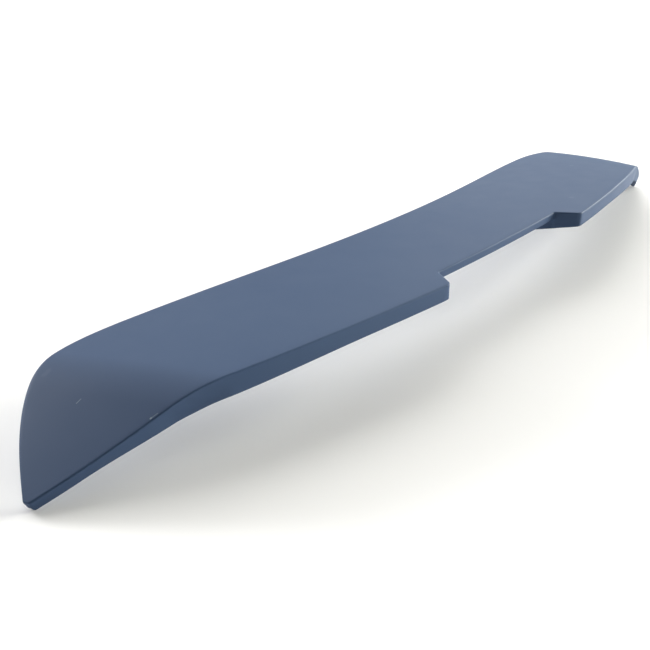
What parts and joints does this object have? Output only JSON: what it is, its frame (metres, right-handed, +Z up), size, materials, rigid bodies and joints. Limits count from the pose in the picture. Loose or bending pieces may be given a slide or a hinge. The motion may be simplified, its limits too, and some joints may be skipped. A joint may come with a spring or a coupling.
{
  "type": "roof spoiler",
  "caption": "Slim arched roof spoiler for the top edge of a rear window, with turned-down ends and a middle notch for a high brake lamp.",
  "frame": {"origin": "middle of the flat floor of the middle adhesive seat, on the underside near the leading edge", "axes": "+X along the span to the right as seen from behind, +Y towards the front of the car, +Z up as the part is seen in the picture"},
  "size_m": [1.1068, 0.2244, 0.0894],
  "materials": {
    "primer": "satin blue-grey primer on a moulded plastic body"
  },
  "bodies": {
    "root": {"roof_spoiler": "primer"}
  },
  "joints": []
}
